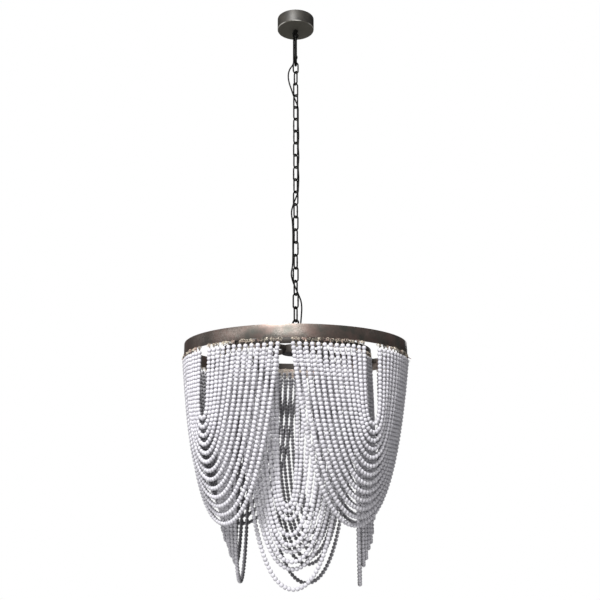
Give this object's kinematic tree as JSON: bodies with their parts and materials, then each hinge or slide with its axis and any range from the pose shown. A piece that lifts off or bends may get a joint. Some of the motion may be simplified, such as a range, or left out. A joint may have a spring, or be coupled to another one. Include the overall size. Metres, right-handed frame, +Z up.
{
  "type": "beaded chandelier",
  "caption": "Round chandelier with nested swags of small whitewashed beads under two metal rings, hung from a ceiling cup by a snap hook, a welded-link chain and a loose black cord.",
  "frame": {"origin": "middle of the ceiling bracket's top face, where the lamp meets the ceiling", "axes": "+Z up, out of the bracket into the ceiling; the lamp hangs towards -Z; the pictured front faces -Y, and +X is to its right"},
  "size_m": [0.605, 0.605, 1.621],
  "materials": {
    "dark_bronze": "dark bronze paint, satin",
    "aged_bronze": "aged bronze, mottled, satin",
    "zinc_steel": "zinc plated",
    "black_plastic": "moulded, matt",
    "black_cord": "smooth sheath",
    "whitewashed_wood": "whitewashed, matt"
  },
  "bodies": {
    "canopy": {"ceiling_bracket": "zinc_steel", "bracket_screw_1": "zinc_steel", "bracket_screw_2": "zinc_steel", "canopy_cup": "dark_bronze", "terminal_block": "black_plastic", "canopy_eye": "aged_bronze", "cord_grip": "black_plastic", "lamp_cord": "black_cord"},
    "snap_hook": {"snap_hook_body": "zinc_steel"},
    "hook_gate": {"hook_gate": "zinc_steel"},
    "chain_link_01": {"chain_link_01": "aged_bronze"},
    "chain_link_02": {"chain_link_02": "aged_bronze"},
    "chain_link_03": {"chain_link_03": "aged_bronze"},
    "chain_link_04": {"chain_link_04": "aged_bronze"},
    "chain_link_05": {"chain_link_05": "aged_bronze"},
    "chain_link_06": {"chain_link_06": "aged_bronze"},
    "chain_link_07": {"chain_link_07": "aged_bronze"},
    "chain_link_08": {"chain_link_08": "aged_bronze"},
    "chain_link_09": {"chain_link_09": "aged_bronze"},
    "chain_link_10": {"chain_link_10": "aged_bronze"},
    "chain_link_11": {"chain_link_11": "aged_bronze"},
    "chain_link_12": {"chain_link_12": "aged_bronze"},
    "chain_link_13": {"chain_link_13": "aged_bronze"},
    "chain_link_14": {"chain_link_14": "aged_bronze"},
    "chain_link_15": {"chain_link_15": "aged_bronze"},
    "chain_link_16": {"chain_link_16": "aged_bronze"},
    "chain_link_17": {"chain_link_17": "aged_bronze"},
    "chain_link_18": {"chain_link_18": "aged_bronze"},
    "chain_link_19": {"chain_link_19": "aged_bronze"},
    "chain_link_20": {"chain_link_20": "aged_bronze"},
    "chain_link_21": {"chain_link_21": "aged_bronze"},
    "lamp": {"hub_eye": "aged_bronze", "hub_stem": "dark_bronze", "hub_cup": "dark_bronze", "hub_grommet": "black_plastic", "stem_nut": "zinc_steel", "hub_cover": "dark_bronze", "hub_finial": "dark_bronze", "ring_band": "aged_bronze", "inner_ring": "dark_bronze", "arm_front_left": "dark_bronze", "arm_front_right": "dark_bronze", "arm_rear_right": "dark_bronze", "arm_rear_left": "dark_bronze", "lamp_holder_front_left": "black_plastic", "lamp_holder_front_right": "black_plastic", "lamp_holder_rear_right": "black_plastic", "lamp_holder_rear_left": "black_plastic", "outer_swag_front_left": "whitewashed_wood", "outer_swag_front_right": "whitewashed_wood", "outer_swag_rear_right": "whitewashed_wood", "outer_swag_rear_left": "whitewashed_wood", "inner_swag_front": "whitewashed_wood", "inner_swag_right": "whitewashed_wood", "inner_swag_rear": "whitewashed_wood", "inner_swag_left": "whitewashed_wood"}
  },
  "joints": [
    {"name": "hook_swing", "type": "hinge", "parent": "canopy", "child": "snap_hook", "pos_m": [0, 0, -0.0655], "axis": [1, 0, 0], "range_deg": [-30, 30], "deforming": ["lamp_cord"]},
    {"name": "gate_hinge", "type": "hinge", "parent": "snap_hook", "child": "hook_gate", "pos_m": [0, -0.01594, -0.13491], "axis": [-1, 0, 0], "range_deg": [0, 9], "stiffness_Nm_per_rad": 0.05, "springref_deg": -17.19},
    {"name": "link_01_swing", "type": "hinge", "parent": "snap_hook", "child": "chain_link_01", "pos_m": [0, 0, -0.15039], "axis": [0.4226, -0.9063, 0], "range_deg": [-30, 30], "deforming": ["lamp_cord"]},
    {"name": "link_02_swing", "type": "hinge", "parent": "chain_link_01", "child": "chain_link_02", "pos_m": [0, 0, -0.18039], "axis": [-0.866, -0.5, 0], "range_deg": [-30, 30], "deforming": ["lamp_cord"]},
    {"name": "link_03_swing", "type": "hinge", "parent": "chain_link_02", "child": "chain_link_03", "pos_m": [0, 0, -0.21789], "axis": [-0.6691, 0.7431, 0], "range_deg": [-30, 30], "deforming": ["lamp_cord"]},
    {"name": "link_04_swing", "type": "hinge", "parent": "chain_link_03", "child": "chain_link_04", "pos_m": [0, 0, -0.25539], "axis": [0.7071, 0.7071, 0], "range_deg": [-30, 30], "deforming": ["lamp_cord"]},
    {"name": "link_05_swing", "type": "hinge", "parent": "chain_link_04", "child": "chain_link_05", "pos_m": [0, 0, -0.29289], "axis": [0.7181, -0.6959, 0], "range_deg": [-30, 30], "deforming": ["lamp_cord"]},
    {"name": "link_06_swing", "type": "hinge", "parent": "chain_link_05", "child": "chain_link_06", "pos_m": [0, 0, -0.33039], "axis": [-0.6845, -0.729, 0], "range_deg": [-30, 30], "deforming": ["lamp_cord"]},
    {"name": "link_07_swing", "type": "hinge", "parent": "chain_link_06", "child": "chain_link_07", "pos_m": [0, 0, -0.36789], "axis": [-0.7396, 0.673, 0], "range_deg": [-30, 30], "deforming": ["lamp_cord"]},
    {"name": "link_08_swing", "type": "hinge", "parent": "chain_link_07", "child": "chain_link_08", "pos_m": [0, 0, -0.40539], "axis": [0.6613, 0.7501, 0], "range_deg": [-30, 30], "deforming": ["lamp_cord"]},
    {"name": "link_09_swing", "type": "hinge", "parent": "chain_link_08", "child": "chain_link_09", "pos_m": [0, 0, -0.44289], "axis": [0.7604, -0.6494, 0], "range_deg": [-30, 30], "deforming": ["lamp_cord"]},
    {"name": "link_10_swing", "type": "hinge", "parent": "chain_link_09", "child": "chain_link_10", "pos_m": [0, 0, -0.48039], "axis": [-0.6374, -0.7705, 0], "range_deg": [-30, 30], "deforming": ["lamp_cord"]},
    {"name": "link_11_swing", "type": "hinge", "parent": "chain_link_10", "child": "chain_link_11", "pos_m": [0, 0, -0.51789], "axis": [-0.7804, 0.6252, 0], "range_deg": [-30, 30], "deforming": ["lamp_cord"]},
    {"name": "link_12_swing", "type": "hinge", "parent": "chain_link_11", "child": "chain_link_12", "pos_m": [0, 0, -0.55539], "axis": [0.6129, 0.7902, 0], "range_deg": [-30, 30], "deforming": ["lamp_cord"]},
    {"name": "link_13_swing", "type": "hinge", "parent": "chain_link_12", "child": "chain_link_13", "pos_m": [0, 0, -0.59289], "axis": [0.7997, -0.6004, 0], "range_deg": [-30, 30], "deforming": ["lamp_cord"]},
    {"name": "link_14_swing", "type": "hinge", "parent": "chain_link_13", "child": "chain_link_14", "pos_m": [0, 0, -0.63039], "axis": [-0.5878, -0.809, 0], "range_deg": [-30, 30], "deforming": ["lamp_cord"]},
    {"name": "link_15_swing", "type": "hinge", "parent": "chain_link_14", "child": "chain_link_15", "pos_m": [0, 0, -0.66789], "axis": [-0.8181, 0.575, 0], "range_deg": [-30, 30], "deforming": ["lamp_cord"]},
    {"name": "link_16_swing", "type": "hinge", "parent": "chain_link_15", "child": "chain_link_16", "pos_m": [0, 0, -0.70539], "axis": [0.5621, 0.8271, 0], "range_deg": [-30, 30], "deforming": ["lamp_cord"]},
    {"name": "link_17_swing", "type": "hinge", "parent": "chain_link_16", "child": "chain_link_17", "pos_m": [0, 0, -0.74289], "axis": [0.8358, -0.549, 0], "range_deg": [-30, 30], "deforming": ["lamp_cord"]},
    {"name": "link_18_swing", "type": "hinge", "parent": "chain_link_17", "child": "chain_link_18", "pos_m": [0, 0, -0.78039], "axis": [-0.5358, -0.8443, 0], "range_deg": [-30, 30], "deforming": ["lamp_cord"]},
    {"name": "link_19_swing", "type": "hinge", "parent": "chain_link_18", "child": "chain_link_19", "pos_m": [0, 0, -0.81789], "axis": [-0.8526, 0.5225, 0], "range_deg": [-30, 30], "deforming": ["lamp_cord"]},
    {"name": "link_20_swing", "type": "hinge", "parent": "chain_link_19", "child": "chain_link_20", "pos_m": [0, 0, -0.85539], "axis": [0.509, 0.8607, 0], "range_deg": [-30, 30], "deforming": ["lamp_cord"]},
    {"name": "link_21_swing", "type": "hinge", "parent": "chain_link_20", "child": "chain_link_21", "pos_m": [0, 0, -0.89289], "axis": [0.8686, -0.4955, 0], "range_deg": [-30, 30], "deforming": ["lamp_cord"]},
    {"name": "lamp_swing", "type": "hinge", "parent": "chain_link_21", "child": "lamp", "pos_m": [0, 0, -0.931], "axis": [-0.4818, -0.8763, 0], "range_deg": [-25, 25], "deforming": ["lamp_cord"]}
  ]
}
